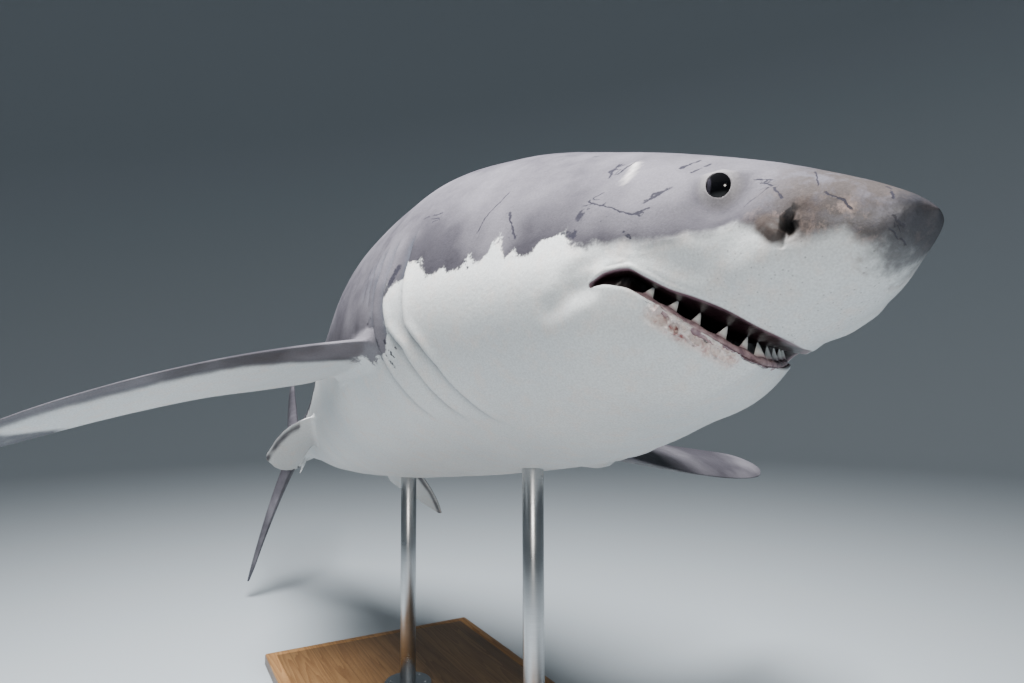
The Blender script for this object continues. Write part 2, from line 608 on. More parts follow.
def body_distance(points):
    """How far outside the body's surface points of the shark's frame are, along a line from its axis."""
    share, left, above = body_coordinates(points)
    share = np.clip(share, 0, BODY_END)
    level = widest_level(share)
    over = above > level
    full = np.where(over, upper_fullness(share), lower_fullness(share))
    height = np.where(over, back_line(share) - level, belly_line(share) + level)
    reach = np.hypot(left, above - level)
    scale = (np.abs(left / half_width(share)) ** (2 / full)
             + np.abs((above - level) / height) ** (2 / full)) ** (full / 2)
    return reach * (1 - 1 / np.maximum(scale, 1e-3)) * LENGTH


def hump(distance, reach):
    """A smooth rise from 0 at this reach to 1 at no distance."""
    return smooth_step(distance, reach, 0)


def around(stations, line, margin):
    """Which of the places lie in a box that reaches this far past the line."""
    return np.nonzero((np.abs(stations - line.mean(0)) < np.ptp(line, axis=0) / 2 + margin).all(1))[0]


SLIT_LIP, SLIT_DEPTH, NOSTRIL_DEPTH = 0.0055, 0.0100, 0.0210


def slit_relief(stations, slit):
    """A gill slit: a raised lip in front, a step down, and a slow rise behind."""
    distance, nearest, along, run = line_distance(stations, slit)
    behind = np.where(stations[:, 0] > nearest[:, 0], distance, -distance)
    lip = SLIT_LIP * np.exp(-((behind + 0.011) / 0.015) ** 2)
    hollow = -SLIT_DEPTH * smooth_step(behind, -0.004, 0.006) * np.exp(-np.maximum(behind - 0.006, 0) / 0.022)
    return (lip + hollow) * smooth_step(along, 0, 0.06) * smooth_step(run - along, 0, 0.09)


def relief(stations):
    """How far the moulded skin stands out from the plain body, in metres."""
    raised = np.zeros(len(stations))
    for side in SIDES:
        for slit in slits[side]:
            near = around(stations, slit, 0.08)
            raised[near] += slit_relief(stations[near], slit)
        pit, nearest, along, run = line_distance(stations, skin_line(NOSTRIL, side))
        brim = np.where(stations[:, 0] < nearest[:, 0], 0.0230, 0.0090) * (0.55 + 0.45 * along / run)
        raised -= NOSTRIL_DEPTH * smooth_step(pit, brim, 0.0025) * smooth_step(along / run, -0.25, 0.65)
        for line, height, reach in MOULDINGS:
            raised += height * hump(line_distance(stations, skin_line(line, side))[0], reach)
    return raised


# What the moulding and the paint follow, kept for each vertex from its place before it is moulded: how deep
# in the mouth it is, the gill slits, nostrils and their flaps, pale and torn skin, and the scratches
stations = np.stack(body_coordinates(np.array([vertex.co[:] for vertex in grid.verts])), -1) * LENGTH
depths = np.array([vertex[depth_layer] for vertex in grid.verts])
lips_only = smooth_step(depths, 0.004, 0.0)

slit_shade = np.zeros(len(stations))
for side in SIDES:
    for slit in slits[side]:
        near = around(stations, slit, 0.06)
        distance, nearest, along, run = line_distance(stations[near], slit)
        behind = np.where(stations[near, 0] > nearest[:, 0], distance, -distance)
        shade = smooth_step(behind, -0.006, 0.004) * np.clip((0.044 - behind) / 0.040, 0, 1) ** 2
        shade *= smooth_step(along, 0, 0.05) * smooth_step(run - along, 0, 0.10)
        slit_shade[near] = np.maximum(slit_shade[near], shade)

# For each scratch: how far off its line the skin is, how strong it is there, and half its width
scratch = np.tile([0.1, 0.0, 0.001], (len(stations), 1))
for (width, _), line in zip(SCRATCHES, scratch_lines):
    thin = width < 4
    half = width / 2000 * (1.5 if thin else 1.0)
    reach = max(0.015, width / 1000)
    near = around(stations, line, reach + 0.01)
    distance, nearest, _, _ = line_distance(stations[near], line)
    heading = line[-1] - line[0]
    across = np.cross(heading, line.mean(0) * (0, 1, 1))
    signed = np.copysign(distance, (stations[near] - nearest) @ across) if thin else distance
    direction = heading / np.linalg.norm(heading)
    past = np.maximum((line[0] - stations[near]) @ direction, (stations[near] - line[-1]) @ direction)
    strength = smooth_step(distance, reach, reach * 0.7) * (smooth_step(past, 0.005, 0.0) if thin else 1)
    closer = (distance - half < np.abs(scratch[near, 0]) - scratch[near, 2]) & (strength > 0)
    scratch[near[closer]] = np.stack([signed, strength, np.full(len(near), half)], -1)[closer]

pale = hump(line_distance(stations, skin_line(SCAR, -1))[0], 0.013)
nostril, flap = np.zeros(len(stations)), np.zeros(len(stations))
for side in SIDES:
    outward, radial, lid = round_eye(stations, side)
    pale = np.maximum(pale, (outward > 0) * 0.30 * smooth_step(lid, 0.044, 0.020))
    pit, nearest, along, run = line_distance(stations, skin_line(NOSTRIL, side))
    reach = np.where(stations[:, 0] < nearest[:, 0], 0.0135, 0.0095) * (0.62 + 0.38 * along / run)
    shade = smooth_step(pit, reach, reach - 0.0060) * smooth_step(along / run, -0.2, 0.7)
    nostril = np.maximum(nostril, shade)
    groove, _, along, run = line_distance(stations, skin_line(NOSTRIL_GROOVE, side))
    nostril = np.maximum(nostril, (0.85 - 0.5 * along / run) * smooth_step(groove, 0.0050, 0.0012))
    for line, strength, reach, full in ((NOSTRIL_FLAP, 1.0, 0.024, 0.010),
                                        (NOSTRIL_SHADE, 0.65, 0.034, 0.008)):
        distance = line_distance(stations, skin_line(line, side))[0]
        flap = np.maximum(flap, strength * smooth_step(distance, reach, full))
torn = hump(line_distance(stations, torn_line)[0], TORN_REACH) * lips_only
wound = hump(line_distance(stations, skin_line(WOUND, -1))[0], 0.012)
for name, values in (("slit", slit_shade), ("nostril", nostril), ("flap", flap),
                     ("pale", pale), ("torn", torn), ("wound", wound)):
    layer = grid.verts.layers.float.new(name)
    for vertex, value in zip(grid.verts, values):
        vertex[layer] = value
layer = grid.verts.layers.float_vector.new("scratch")
for vertex, value in zip(grid.verts, scratch):
    vertex[layer] = value

# The skin is moulded: folds, slits and nostrils, then the torn lip, then the lids drawn over the eyeballs
raised = relief(stations) * lips_only
grid.normal_update()
moved = np.empty((len(stations), 3))
for i, (vertex, height, tear) in enumerate(zip(grid.verts, raised, torn)):
    point = Vector(stations[i])
    height += 0.0012 * noise.noise(point / 0.16) + 0.0004 * noise.noise(point / 0.035)
    if tear:
        folded = Vector((point.x * 1.6, point.y, point.z)) / TORN_FOLD
        ridges = 1 - 3.2 * abs(noise.noise(folded)) - 1.2 * abs(noise.noise(folded * 2.4))
        height += tear * (TORN_HEIGHT * ridges - TORN_DEPTH)
    moved[i] = vertex.co + vertex.normal * height
_, backs, lefts, ups = axis_at(stations[:, 0] / LENGTH)
for side in SIDES:
    outward, radial, lid = round_eye(stations, side)
    middle, look = eye_middle(side)
    ball = np.sqrt(np.maximum(EYE_RADIUS**2 - radial**2, 0))
    brim = math.sqrt(EYE_RADIUS**2 - EYE_OPENING**2) + LID_LIP - LID_SLOPE * (lid - EYE_OPENING)
    share_of = smooth_step(lid, LID_REACH, EYE_OPENING + 0.001) * smooth_step(outward, -0.010, 0.008)
    target = outward * (1 - share_of) + brim * share_of
    inside = smooth_step(lid, EYE_OPENING, EYE_OPENING - 0.0016)
    target = target * (1 - inside) + (ball - SOCKET_DEPTH) * inside
    lift = (target - outward) * (outward > -0.010) * (lid < LID_REACH)
    shift = look * lift[:, None]
    offset = stations + shift - middle
    from_middle = np.linalg.norm(offset, axis=1)
    short = np.maximum(EYE_RADIUS + LID_COVER - from_middle, 0)
    short *= smooth_step(lid, EYE_OPENING, EYE_OPENING + 0.002)
    shift += offset * (short / from_middle)[:, None]
    moved += shift[:, :1] * backs + shift[:, 1:2] * lefts + shift[:, 2:] * ups
for vertex, point in zip(grid.verts, moved):
    vertex.co = point
skin = show("skin", mesh_of(grid, "skin"))

# Fin plans: (share of the span, leading edge, trailing edge), the edges as shares behind the root's front
PECTORAL_PLAN = [(-0.25, -0.010, 0.074), (0, 0, 0.084), (0.10, 0.003, 0.101), (0.22, 0.007, 0.096),
                 (0.45, 0.0165, 0.081), (0.70, 0.029, 0.076), (0.88, 0.040, 0.074), (0.96, 0.047, 0.070),
                 (1, 0.054, 0.064)]
PELVIC_PLAN = [(-0.4, -0.006, 0.058), (0, 0, 0.062), (0.25, 0.007, 0.080), (0.6, 0.018, 0.067),
               (0.85, 0.029, 0.055), (1, 0.038, 0.046)]
DORSAL_PLAN = [(-0.30, -0.028, 0.090), (0, 0, 0.092), (0.08, 0.010, 0.103), (0.18, 0.020, 0.095),
               (0.40, 0.039, 0.086), (0.65, 0.059, 0.087), (0.85, 0.075, 0.093), (1, 0.092, 0.099)]
SMALL_PLAN = [(-0.8, -0.003, 0.012), (0, 0, 0.0125), (0.35, 0.006, 0.022), (0.7, 0.011, 0.019),
              (1, 0.016, 0.020)]
UPPER_LOBE_PLAN = [(0, -0.016, 0.048), (0.12, 0.010, 0.052), (0.30, 0.038, 0.074), (0.52, 0.072, 0.103),
                   (0.75, 0.110, 0.133), (0.90, 0.136, 0.152), (1, 0.158, 0.165)]
LOWER_LOBE_PLAN = [(0, -0.016, 0.048), (0.12, 0.008, 0.052), (0.30, 0.032, 0.067), (0.52, 0.058, 0.086),
                   (0.75, 0.086, 0.107), (0.90, 0.105, 0.121), (1, 0.124, 0.130)]
# name, plan, root (shares behind, left, above), span, root thickness, lean from straight out, nose-up
# twist, droop, fillet in metres
FINS = [
    ("pectoral_fin_right", PECTORAL_PLAN, (0.270, -0.094, -0.050), 0.215, 0.0135, -23.5, 20, 0.10, 0.030),
    ("pectoral_fin_left", PECTORAL_PLAN, (0.270, 0.092, -0.058), 0.200, 0.0135, 7.5, -34, 0.02, 0.030),
    ("pelvic_fin_right", PELVIC_PLAN, (0.550, -0.046, -0.048), 0.051, 0.0080, -30, 46, 0, 0.018),
    ("pelvic_fin_left", PELVIC_PLAN, (0.560, 0.044, -0.056), 0.074, 0.0080, -24, 0, 0.08, 0.018),
    ("first_dorsal_fin", DORSAL_PLAN, (0.345, 0, 0.100), 0.100, 0.0150, 90, 0, 0, 0.030),
    ("second_dorsal_fin", SMALL_PLAN, (0.735, 0, 0.024), 0.017, 0.0040, 90, 0, 0, 0.008),
    ("anal_fin", SMALL_PLAN, (0.765, 0, -0.018), 0.019, 0.0040, -90, 0, 0, 0.008),
    ("caudal_fin_upper", UPPER_LOBE_PLAN, (0.815, 0, 0), 0.175, 0.0170, 90, 0, 0.06, 0.020),
    ("caudal_fin_lower", LOWER_LOBE_PLAN, (0.815, 0, 0), 0.141, 0.0170, -90, 0, -0.10, 0.020),
]
FIN_EDGE = 0.003  # thickness of a fin at its trailing edge
FIN_TAPER = 0.85  # how much thinner a fin is at its tip than at its root
FIN_BLUNTNESS = 0.65  # less than 1 puts a fin's thickest place nearer its leading edge
ROOT_TWIST = 0.3  # share of a fin's twist that is there at its root
FIN_COLUMNS = 23
ROOT_STEP, BLADE_STEP = 0.008, 0.022  # spacing of a fin's rows by its root and out along it


def fin_rings(plan, root, span, thickness, lean, twist, droop, t):
    """A fin's rounded sections at these shares of its span, and the direction that it grows in."""
    leading = smooth_line([(at, front) for at, front, _ in plan])
    trailing = smooth_line([(at, rear) for at, _, rear in plan])
    side = math.copysign(1, root[1])
    lean = math.radians(lean)
    out = np.array([0, side * math.cos(lean), math.sin(lean)])
    normal = np.array([0, -side * math.sin(lean), math.cos(lean)])
    _, backward, leftward, upward = axis_at(np.array(root[0]))
    middle = (leading(0) + trailing(0)) / 2
    slope = math.tan(math.radians(twist))
    column = np.arange(2 * FIN_COLUMNS)
    along = (1 - np.cos(np.pi * (column + 0.5) / FIN_COLUMNS)) / 2
    upper = np.where(column < FIN_COLUMNS, 1, -1)
    t = t[:, None]
    outward = np.maximum(t, 0)
    bulge = np.maximum(thickness / 2 * (1 - FIN_TAPER * outward) * np.sin(np.pi * along**FIN_BLUNTNESS),
                       FIN_EDGE / 2 / LENGTH)
    chord = trailing(t) - leading(t)
    back = leading(t) + chord * along
    turn = slope * (ROOT_TWIST + (1 - ROOT_TWIST) * outward)
    lift = (middle - back) * turn - droop * span * outward**2 + upper * bulge
    offset = out * (t * span)[..., None] + normal * lift[..., None]
    turned = backward * back[..., None] + leftward * offset[..., 1:2] + upward * offset[..., 2:3]
    rings = place(*[np.array(value, float) for value in root]) + turned * LENGTH
    facts = np.stack([upper + 0 * chord, chord * along * LENGTH, chord * (1 - along) * LENGTH,
                      t + 0 * chord * along], -1)
    return rings, out[1] * leftward + out[2] * upward, facts


def flared(rings, out, fillet):
    """The rings spread towards the body, so that the fin runs into it in a hollow curve."""
    along_span = np.gradient(rings, axis=0)
    around = (np.roll(rings, -1, 1) - np.roll(rings, 1, 1)) / 2
    normals = np.cross(around, along_span)
    normals -= out * (normals @ out)[..., None]
    normals /= np.maximum(np.linalg.norm(normals, axis=-1, keepdims=True), 1e-9)
    outward = rings - rings.mean(1, keepdims=True)
    normals *= np.sign((normals * outward).sum(-1).mean())
    clear = np.clip(body_distance(rings) + 0.05 * fillet, 0, fillet)
    spread = fillet - np.sqrt(fillet**2 - (fillet - clear) ** 2)
    share = body_coordinates(rings)[0]
    return rings + normals * (spread * smooth_step(share, BODY_END - 0.003, BODY_END - 0.02))[..., None]


def fin_form(name, plan, root, span, thickness, lean, twist, droop, fillet):
    """A fin's closed mesh, and for each of its vertices the face, the ways from both edges and the reach."""
    shape_of = (plan, root, span, thickness, lean, twist, droop)
    inner = max(plan[0][0], -0.30) if plan[0][0] < 0 else -0.10
    trial = np.linspace(inner, 1, 200)
    clear = body_distance(fin_rings(*shape_of, trial)[0])
    first = trial[(clear > -0.012).any(1)][0]
    last = trial[(clear < fillet + 0.01).any(1)][-1]
    metres = span * LENGTH
    t = np.concatenate([np.linspace(max(first - 0.06 / metres, inner), first, 3)[:-1],
                        np.linspace(first, last, max(int((last - first) * metres / ROOT_STEP), 6))[:-1],
                        np.linspace(last, 1, max(int((1 - last) * metres / BLADE_STEP), 6))])
    rings, out, facts = fin_rings(*shape_of, t)
    rings = flared(rings, out, fillet)
    middle = rings[-1].mean(0)
    backward = axis_at(np.array(root[0]))[1]
    tip_reach = 0.25 * np.ptp(rings[-1] @ backward)
    tips = [middle + (rings[-1] - middle) * math.cos(angle) + out * tip_reach * math.sin(angle)
            for angle in np.radians((25, 50, 70, 88))]
    rings = np.concatenate([rings, tips])
    facts = np.concatenate([facts, [facts[-1]] * len(tips)])
    return ring_mesh(name, rings), rings.reshape(-1, 3), facts.reshape(-1, 4)


def settle(thing):
    """Makes what the object's modifiers give its plain mesh, and takes them off."""
    thing.data = bpy.data.meshes.new_from_object(thing.evaluated_get(bpy.context.evaluated_depsgraph_get()))
    thing.modifiers.clear()
    thing.data.name = thing.name


fins = bpy.data.collections.new("fins")
bpy.context.scene.collection.children.link(fins)
fin_points, fin_facts = [], []
for number, (name, *shape_of) in enumerate(FINS):
    form, points, facts = fin_form(name, *shape_of)
    fins.objects.link(bpy.data.objects.new(name + "_form", form))
    fin_points.extend(points)
    fin_facts.extend((number, *fact) for fact in facts)
fin_tree = KDTree(len(fin_points))
for i, point in enumerate(fin_points):
    fin_tree.insert(point, i)
fin_tree.balance()
FIN_FOUND = 2e-4  # the body's vertices lie farther than this from those of a fin

# The body and fins are joined into one closed skin
join = skin.modifiers.new("Join", "BOOLEAN")
join.operation = "UNION"
join.solver = "EXACT"
join.operand_type = "COLLECTION"
join.collection = fins
settle(skin)
for fin in list(fins.objects):
    bpy.data.objects.remove(fin)
bpy.data.collections.remove(fins)
skin_mesh = skin.data

# Where the paint's border runs, as (share, above). Each vertex keeps how far over it the skin there is, its
# place in metres along, left and above, how calm the border is there, and how much it is a fin's dark tip
border_line = smooth_line([
    (0, -0.0100), (0.0120, -0.0135), (0.0159, -0.0149), (0.0193, -0.0130), (0.0244, -0.0143),
    (0.0301, -0.0155), (0.0344, -0.0105), (0.0420, -0.0118), (0.0503, -0.0105), (0.0640, -0.0122),
    (0.0828, -0.0133),
    (0.1051, -0.0133), (0.1175, -0.0136), (0.1343, -0.0125), (0.1450, -0.0135), (0.1516, -0.0110),
    (0.1570, -0.0150), (0.1622, -0.0030), (0.1665, -0.0061), (0.1725, -0.0152), (0.1885, -0.0184),
    (0.2089, -0.0175), (0.2300, -0.0110), (0.2400, -0.0150), (0.2480, -0.0260), (0.2560, -0.0400),
    (0.2701, -0.0509), (0.3000, -0.0500), (0.3600, -0.0440), (0.4400, -0.0300), (0.5500, -0.0220),
    (0.7000, -0.0100), (0.7800, -0.0040), (0.8600, -0.0040)])

points = np.empty(len(skin_mesh.vertices) * 3, np.float32)
skin_mesh.vertices.foreach_get("co", points)
points = points.reshape(-1, 3).astype(float)
stations = np.stack(body_coordinates(points), -1) * LENGTH
within = np.stack([np.clip(stations[:, 0], 0, BODY_END * LENGTH), stations[:, 1], stations[:, 2]], -1)
border = within[:, 2] - border_line(within[:, 0] / LENGTH) * LENGTH
for side in SIDES:  # a dark patch round the root of each pectoral fin's front edge
    border = np.maximum(border, 0.075 - line_distance(within, skin_line(PECTORAL_SHADE, side))[0])
tip = np.zeros(len(points))
calm = np.zeros(len(points))
clear = body_distance(points)
for i, point in enumerate(points):
    if clear[i] > 0.0005:
        _, found, distance = fin_tree.find(point)
        if distance < FIN_FOUND:
            number, upper, from_front, from_rear, reach = fin_facts[found]
            name = FINS[int(number)][0]
            of_fin = smooth_step(clear[i], 0.0, 0.060)
            if "pectoral" in name:
                band = 0.040 + 0.050 * smooth_step(reach, 0.45, 0.0) - 0.016 * smooth_step(reach, 0.6, 1.0)
                edge = band + 0.7 * min(from_front, from_rear) if upper > 0 else min(band - from_front, band)
                dark = (upper < 0) * smooth_step(reach + 0.14 * smooth_step(from_rear, 0.10, 0), 0.88, 0.94)
            elif "pelvic" in name:
                edge = 0.04 if upper > 0 else min(0.034 - from_front, from_front - 0.007)
                dark = 0.0
            elif "anal" in name:
                edge, dark = -0.05, 0.0
            else:
                edge = 0.12
                dark = 0.75 * smooth_step(reach, 0.86, 0.99) + 0.5 * smooth_step(from_rear, 0.03, 0.0)
            border[i] += (edge - border[i]) * of_fin
            calm[i] = of_fin
            tip[i] = dark * of_fin



def keep(mesh, name, values):
    """Keeps a number or a vector for each of the mesh's vertices, for its paint to read."""
    kind, part = ("FLOAT", "value") if np.ndim(values) == 1 else ("FLOAT_VECTOR", "vector")
    mesh.attributes.new(name, kind, "POINT").data.foreach_set(part, np.array(values, np.float32).ravel())


for name, values in (("border", border), ("tip", tip), ("calm", calm), ("station", stations)):
    keep(skin_mesh, name, values)
skin_mesh.transform(to_world)
skin_mesh.shade_smooth()

# Cast resin skin airbrushed in layers and sealed with a satin varnish: soft mottled grey over warm white, a
# ragged edge between them, scars and pores drawn in by brush, and a fine grain that stands for the skin's
# teeth
hide, tree, surface = new_material("painted_sharkskin", {"IOR": 1.48})
station, scratch_at = [add(tree, "ShaderNodeAttribute", out="Vector", attribute_name=name)
                       for name in ("station", "scratch")]
border_at, tip_at, slit_at, depth_at, pale_at, calm_at, nostril_at, flap_at, torn_at, wound_at = [
    add(tree, "ShaderNodeAttribute", out="Fac", attribute_name=name)
    for name in ("border", "tip", "slit", "mouth_depth", "pale", "calm", "nostril", "flap", "torn", "wound")]
along, _, upward = add(tree, "ShaderNodeSeparateXYZ", {0: station}).node.outputs
off_line, scratched, half_line = add(tree, "ShaderNodeSeparateXYZ", {0: scratch_at}).node.outputs

# Mottling, in patches about 300, 40 and 4 mm across
cloud, patch, grain = [
    add(tree, "ShaderNodeTexNoise", {"Vector": station, "Scale": scale, "Detail": detail, "Roughness": rough})
    for scale, detail, rough in ((3.5, 3.0, 0.5), (26.0, 6.0, 0.6), (250.0, 2.0, 0.5))]

# The ragged edge: lobes 60 mm across that hang down with sharp notches between, broken up finer and finer,
# and drawn out into streaks from the gills back
hanging, streaked = [add(tree, "ShaderNodeMapping", {"Vector": station, "Scale": (1.0, 1.0, squash)})
                     for squash in (0.75, 0.20)]
cells = add(tree, "ShaderNodeTexVoronoi", {"Vector": hanging, "Scale": 17.0, "Randomness": 0.9})
lobes = add(tree, "ShaderNodeMath", {0: cells, 1: cells, 2: -0.20}, operation="MULTIPLY_ADD")
ragged = add(tree, "ShaderNodeMath", {0: lobes, 1: -0.070}, operation="MULTIPLY")
notch, fray, streak = [
    add(tree, "ShaderNodeTexNoise", {"Vector": where, "Scale": scale, "Detail": detail, "Roughness": rough})
    for where, scale, detail, rough in ((hanging, 30.0, 8.0, 0.74), (station, 170.0, 4.0, 0.65),
                                        (streaked, 42.0, 5.0, 0.62))]
notches, frayed, streaks = [
    add(tree, "ShaderNodeMath", {0: noise_at, 1: size, 2: -size / 2}, operation="MULTIPLY_ADD")
    for noise_at, size in ((notch, 0.070), (fray, 0.034), (streak, 0.070))]
streak_zone = add(tree, "ShaderNodeMapRange", {"Value": along, "From Min": 0.98, "From Max": 1.10},
                  interpolation_type="SMOOTHSTEP")
streaks = add(tree, "ShaderNodeMath", {0: streaks, 1: streak_zone}, operation="MULTIPLY")
for finer in (notches, streaks, frayed):
    ragged = add(tree, "ShaderNodeMath", {0: ragged, 1: finer}, operation="ADD")
raggedness = add(tree, "ShaderNodeMapRange", {"Value": along, "From Min": 0.40, "From Max": 0.53,
                                              "To Min": 0.25}, interpolation_type="SMOOTHSTEP")
calmness = add(tree, "ShaderNodeMapRange", {"Value": calm_at, "To Min": 1.0, "To Max": 0.10})
raggedness = add(tree, "ShaderNodeMath", {0: raggedness, 1: calmness}, operation="MULTIPLY")
edge = add(tree, "ShaderNodeMath", {0: ragged, 1: raggedness, 2: border_at}, operation="MULTIPLY_ADD")
soft_edge, crisp_edge = [
    add(tree, "ShaderNodeMapRange", {"Value": edge, "From Min": below, "From Max": above},
        interpolation_type="SMOOTHSTEP") for below, above in ((-0.016, 0.018), (-0.0060, 0.0080))]
crispness = add(tree, "ShaderNodeMapRange", {"Value": along, "From Min": 0.44, "From Max": 0.54})
crispness = add(tree, "ShaderNodeMath", {0: calm_at, 1: -0.7, 2: crispness}, operation="MULTIPLY_ADD",
                use_clamp=True)
grey_part = add(tree, "ShaderNodeMix", {0: crispness, 2: soft_edge, 3: crisp_edge}, data_type="FLOAT")

# What stays under full strength: warm patches in the white, pale clouds in the grey, and the snout's pores
warm, pale_cloud, pore_zone = [
    add(tree, "ShaderNodeMapRange", {"Value": where, "From Min": start, "From Max": end, "To Max": most})
    for where, start, end, most in ((patch, 0.50, 0.72, 0.5), (cloud, 0.46, 0.68, 0.6),
                                    (along, 0.34, 0.22, 0.42))]
# White below: cooler in broad clouds and warmer in small patches
whites = [(cloud, "#C4CBCF"), (warm, "#E3D6CD")]

# Grey above: darker close to the edge, lighter and more lavender up the back
rise, snout, low_snout, fin_line = [
    add(tree, "ShaderNodeMapRange", {"Value": where, "From Min": start, "From Max": end},
        interpolation_type="SMOOTHSTEP")
    for where, start, end in ((border_at, 0.0, 0.24), (along, 0.235, 0.115), (border_at, 0.085, 0.01),
                              (border_at, 0.030, 0.004))]
blotch, tan_patch, pink_patch = [
    add(tree, "ShaderNodeMapRange", {"Value": where, "From Min": start, "From Max": end})
    for where, start, end in ((patch, 0.35, 0.68), (patch, 0.36, 0.54), (notches, 0.0, 0.014))]
blotch = add(tree, "ShaderNodeMath", {0: blotch, 1: 0.75}, operation="MULTIPLY")

# Tan and pinkish patches on the snout, from the nostrils forward
tan_part = add(tree, "ShaderNodeMath", {0: snout, 1: tan_patch}, operation="MULTIPLY")
tan_part = add(tree, "ShaderNodeMath", {0: tan_part, 1: 0.8}, operation="MULTIPLY")
pink_part = add(tree, "ShaderNodeMath", {0: low_snout, 1: tan_part}, operation="MULTIPLY")
pink_part = add(tree, "ShaderNodeMath", {0: pink_part, 1: pink_patch}, operation="MULTIPLY")

# A darker line where the grey of a fin's front edge ends
fin_line = add(tree, "ShaderNodeMath", {0: fin_line, 1: calm_at}, operation="MULTIPLY")
fin_line = add(tree, "ShaderNodeMath", {0: fin_line, 1: 0.75}, operation="MULTIPLY")
greys = [(rise, "#65626A"), (blotch, "#48464D"), (pale_cloud, "#88858D"), (tan_part, "#504945"),
         (pink_part, "#CDB3A8"), (fin_line, "#3F404A")]

# The snout's dark tip
cap = add(tree, "ShaderNodeMath", {0: upward, 1: 0.42, 2: along}, operation="MULTIPLY_ADD")
cap = add(tree, "ShaderNodeMath", {0: patch, 1: -0.085, 2: cap}, operation="MULTIPLY_ADD")
cap = add(tree, "ShaderNodeMapRange", {"Value": cap, "From Min": 0.010, "From Max": -0.030},
          interpolation_type="SMOOTHSTEP")
cap = add(tree, "ShaderNodeMath", {0: cap, 1: 0.85}, operation="MULTIPLY")

# Pores about 1 mm across under the snout and round the nostrils, drawn about 3 mm across so that they show
pores = add(tree, "ShaderNodeTexVoronoi", {"Vector": station, "Scale": 85.0})
pores = add(tree, "ShaderNodeMapRange", {"Value": pores, "From Min": 0.16, "From Max": 0.09})
pores = add(tree, "ShaderNodeMath", {0: pores, 1: pore_zone}, operation="MULTIPLY")

# Torn pink flesh on the lower lip
raw = add(tree, "ShaderNodeTexNoise", {"Vector": station, "Scale": 75.0, "Detail": 5.0, "Roughness": 0.6,
                                       "Distortion": 0.6})
flesh = add(tree, "ShaderNodeMapRange", {"Value": raw, "From Min": 0.50, "From Max": 0.70})
flesh = add(tree, "ShaderNodeMix", {0: flesh, 6: linear("#E2D6D1"), 7: linear("#BF9795")}, out=2,
            data_type="RGBA")

# Painted parts whose strength is mottled: the mottling, how strong it is, what is added to it, and where
mottled = []
for mottle, strength, start, where in ((notches, 6.0, tip_at, tip_at), (patch, 1.1, 0.35, pale_at),
                                       (patch, 1.0, 0.50, flap_at), (raw, 3.0, torn_at, torn_at),
                                       (raw, 4.0, -1.4, wound_at), (patch, 0.7, 0.45, slit_at)):
    part = add(tree, "ShaderNodeMath", {0: mottle, 1: strength, 2: start}, operation="MULTIPLY_ADD")
    mottled.append(add(tree, "ShaderNodeMath", {0: part, 1: where}, operation="MULTIPLY", use_clamp=True))
tip_part, pale_part, flap_part, torn_part, wound_part, slit_part = mottled

# Scratches and dark marks: a line where the way from it is under half its width, frayed and broken by grain
wobble = add(tree, "ShaderNodeTexNoise", {"Vector": station, "Scale": 48.0, "Detail": 3.0})
wobble = add(tree, "ShaderNodeMath", {0: wobble, 1: 0.014, 2: -0.007}, operation="MULTIPLY_ADD")
way = add(tree, "ShaderNodeMath", {0: off_line, 1: wobble}, operation="ADD")
way = add(tree, "ShaderNodeMath", {0: way}, operation="ABSOLUTE")
way = add(tree, "ShaderNodeMath", {0: way, 1: half_line}, operation="DIVIDE")
way = add(tree, "ShaderNodeMath", {0: fray, 1: 3.6, 2: way}, operation="MULTIPLY_ADD")
stroke = add(tree, "ShaderNodeMapRange", {"Value": way, "From Min": 3.3, "From Max": 2.4},
             interpolation_type="SMOOTHSTEP")
stroke = add(tree, "ShaderNodeMath", {0: stroke, 1: scratched}, operation="MULTIPLY")
body_only = add(tree, "ShaderNodeMath", {0: calm_at, 1: -0.95, 2: 0.95}, operation="MULTIPLY_ADD")
stroke = add(tree, "ShaderNodeMath", {0: stroke, 1: body_only}, operation="MULTIPLY", use_clamp=True)

# The mouth's lining: mauve gum just inside the lips, then dark maroon and nearly black
gum_part, inner_part = [
    add(tree, "ShaderNodeMapRange", {"Value": depth_at, "From Min": start, "From Max": end},
        interpolation_type="SMOOTHSTEP") for start, end in ((0.0010, 0.0040), (0.004, 0.013))]
gum = add(tree, "ShaderNodeMix", {0: patch, 6: linear("#4A343E"), 7: linear("#7C5D67")}, out=2,
          data_type="RGBA")

# The coats in the order they are laid: the white and the grey, then the grey over the white, the dark tips
# of the snout and fins, pale rings round the eyes and a healed bite, brown flaps and nearly black nostrils,
# pores, torn flesh and its wound, scratches, the slits' shade and the mouth's lining
white, grey = linear("#E6E6E3"), linear("#3D3B41")
for part, colour in whites:
    white = add(tree, "ShaderNodeMix", {0: part, 6: white, 7: linear(colour)}, out=2, data_type="RGBA")
for part, colour in greys:
    grey = add(tree, "ShaderNodeMix", {0: part, 6: grey, 7: linear(colour)}, out=2, data_type="RGBA")
coat = white
for part, colour in (
        (grey_part, grey), (cap, linear("#34363D")), (tip_part, linear("#3A3C46")),
        (pale_part, linear("#D8D2D1")), (flap_part, linear("#4B4340")), (nostril_at, linear("#0B0C0E")),
        (pores, linear("#5E5A5C")), (torn_part, flesh), (wound_part, linear("#7A2627")),
        (stroke, linear("#35343D")), (slit_part, linear("#4A5561")), (gum_part, gum),
        (inner_part, linear("#1E0F13"))):
    coat = add(tree, "ShaderNodeMix", {0: part, 6: coat, 7: colour}, out=2, data_type="RGBA")
speck, satin = [
    add(tree, "ShaderNodeMapRange", {"Value": value, "From Min": 0.3, "From Max": 0.7, "To Min": low,
                                     "To Max": high})
    for value, low, high in ((grain, 0.86, 1.07), (patch, 0.40, 0.54))]
coat = add(tree, "ShaderNodeVectorMath", {0: coat, 1: speck}, operation="MULTIPLY")

